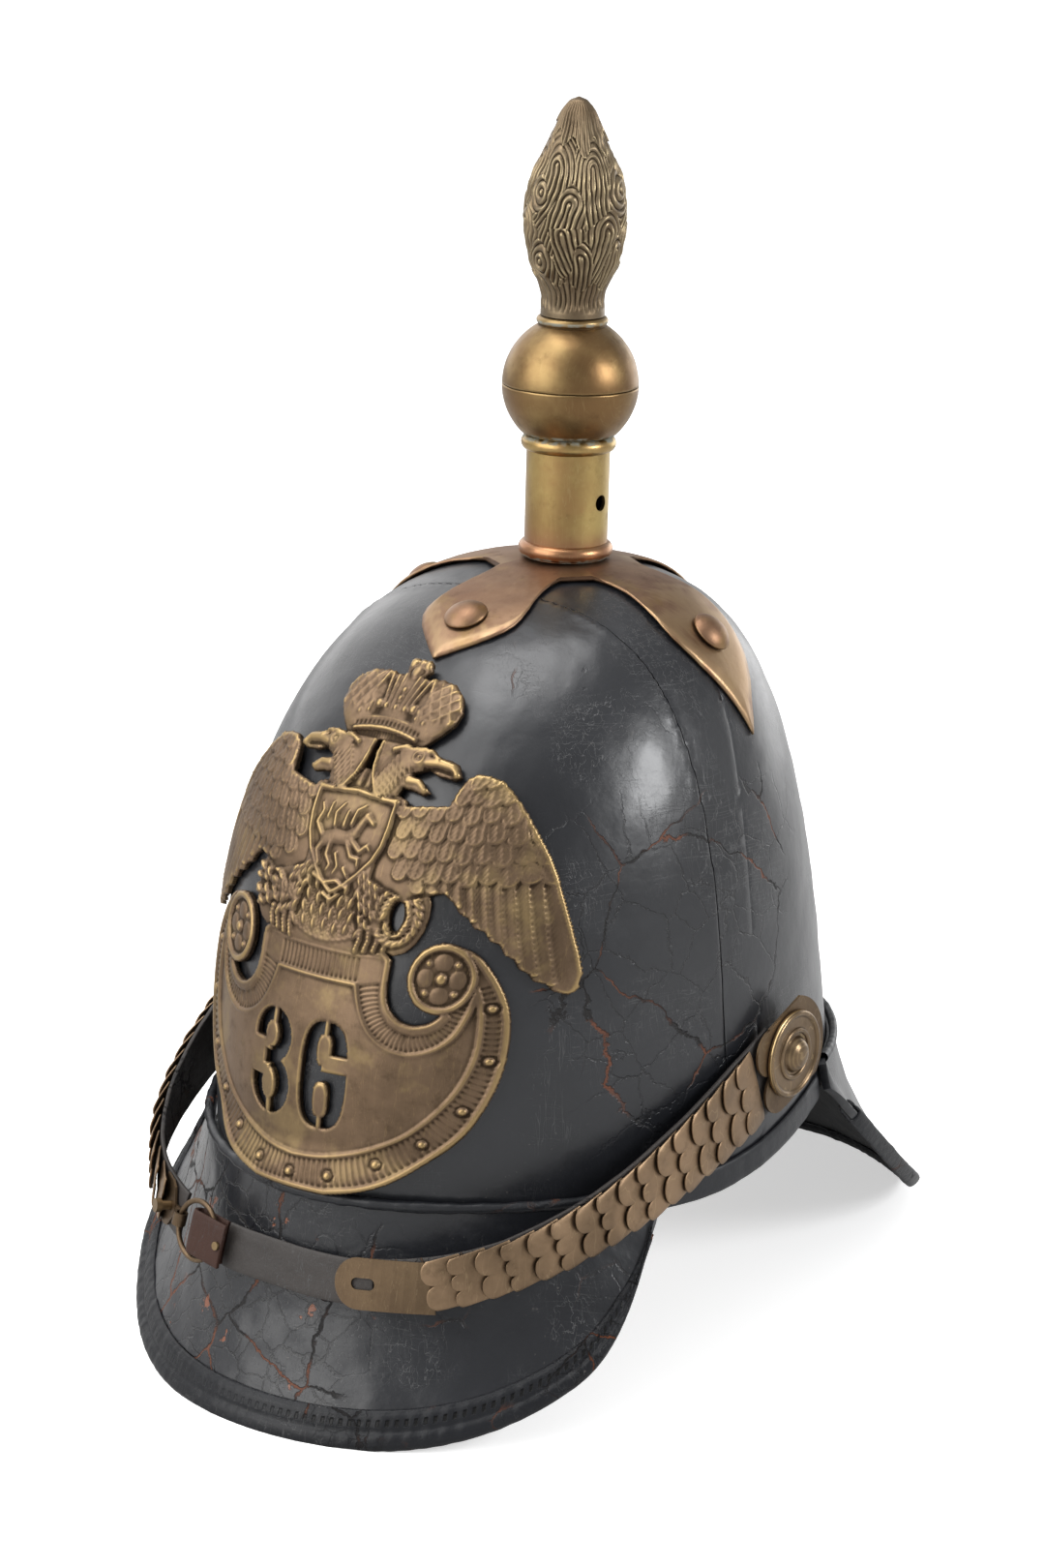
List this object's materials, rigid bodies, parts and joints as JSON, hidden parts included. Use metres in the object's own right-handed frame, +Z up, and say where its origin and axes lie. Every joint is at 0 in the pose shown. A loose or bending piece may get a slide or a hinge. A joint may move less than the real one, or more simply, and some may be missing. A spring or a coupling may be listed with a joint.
{
  "type": "spiked leather helmet",
  "caption": "Black leather helmet with front and rear visor, stamped brass eagle plate, flame finial on a ball, and brass-scaled chin strap that swings on side rosettes.",
  "frame": {"origin": "centre of the bounding box in plan, on the table that both visor lips rest on", "axes": "+Z up along the finial, -Y towards the front plate, +X towards the wearer's left"},
  "size_m": [0.2004, 0.325, 0.3841],
  "materials": {
    "black_leather": "lacquered, cracked, semi-gloss",
    "plate_brass": "stamped, aged olive-brown, bright on the ridges",
    "red_brass": "reddish, aged, satin",
    "yellow_brass": "aged, satin",
    "tan_brass": "satin, worn at the edges",
    "steel": "dull",
    "strap_leather": "worn, dry",
    "liner_leather": "worn, matte"
  },
  "bodies": {
    "helmet": {"skull_front": "black_leather", "skull_rear": "black_leather", "front_visor": "black_leather", "front_visor_binding": "black_leather", "rear_visor": "black_leather", "rear_visor_binding": "black_leather", "rim_binding": "black_leather", "front_plate": "plate_brass", "plate_screws": "plate_brass", "plate_nuts": "steel", "petal_base": "red_brass", "petal_rivets": "red_brass", "petal_nuts": "steel", "socket_tube": "yellow_brass", "socket_bolt": "steel", "socket_washer": "steel", "socket_nut": "steel", "left_rosette": "yellow_brass", "right_rosette": "yellow_brass", "rosette_nuts": "steel", "sweatband": "liner_leather", "liner_tongues": "liner_leather", "liner_lace": "liner_leather"},
    "chin_strap": {"left_leaf_plate": "tan_brass", "right_leaf_plate": "tan_brass", "left_scales": "tan_brass", "right_scales": "tan_brass", "left_scale_backing": "strap_leather", "right_scale_backing": "strap_leather", "left_end_plate": "tan_brass", "right_end_plate": "tan_brass", "end_plate_stud": "yellow_brass", "leather_strap": "strap_leather", "strap_rivet": "yellow_brass"},
    "ring": {"strap_ring": "tan_brass"},
    "finial": {"finial_spigot": "yellow_brass", "finial_rod": "steel", "ball_lower_half": "yellow_brass", "ball_upper_half": "yellow_brass", "flame": "yellow_brass"}
  },
  "joints": [
    {"name": "chin_strap_swing", "type": "hinge", "parent": "helmet", "child": "chin_strap", "pos_m": [0, -0.01445, 0.0999], "axis": [-1, 0, 0], "range_deg": [0, 60]},
    {"name": "ring_turn", "type": "hinge", "parent": "chin_strap", "child": "ring", "pos_m": [-0.03185, -0.14514, 0.04871], "axis": [-0.2065, -0.9579, 0.1996], "continuous": true},
    {"name": "finial_lift", "type": "slide", "parent": "helmet", "child": "finial", "axis": [0, 0, 1], "range_m": [0, 0.03]}
  ]
}
